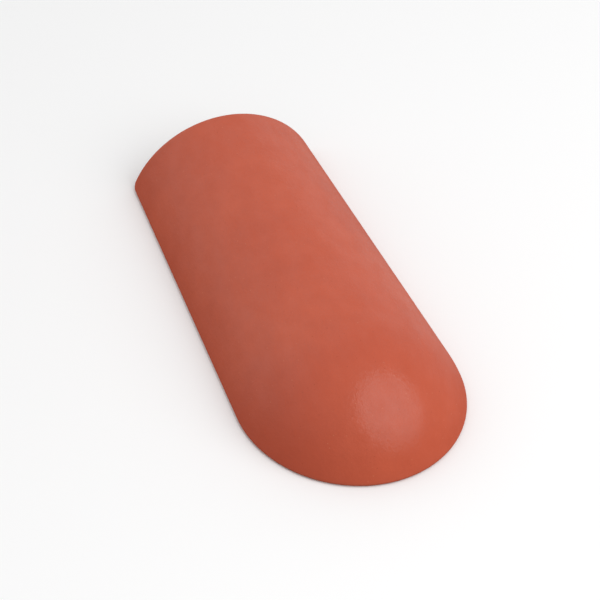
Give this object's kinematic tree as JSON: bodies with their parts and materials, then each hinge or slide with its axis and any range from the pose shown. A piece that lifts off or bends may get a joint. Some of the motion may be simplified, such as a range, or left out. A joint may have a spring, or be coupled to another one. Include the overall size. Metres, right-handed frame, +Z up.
{
  "type": "hip starter tile",
  "caption": "Half-round clay roof tile, tapered, open at its narrow end and closed by a dome at its wide end, that covers the lower end of a roof's hip.",
  "frame": {"origin": "on the floor, in the middle of the tile's length and width", "axes": "+Y along the barrel towards the open narrow end, the dome at -Y; +Z up through the crest; X across the barrel"},
  "size_m": [0.203, 0.457, 0.0759],
  "materials": {
    "terracotta": "unglazed fired clay, smooth and matt with a faint sheen"
  },
  "bodies": {
    "root": {"hip_starter_tile": "terracotta"}
  },
  "joints": []
}
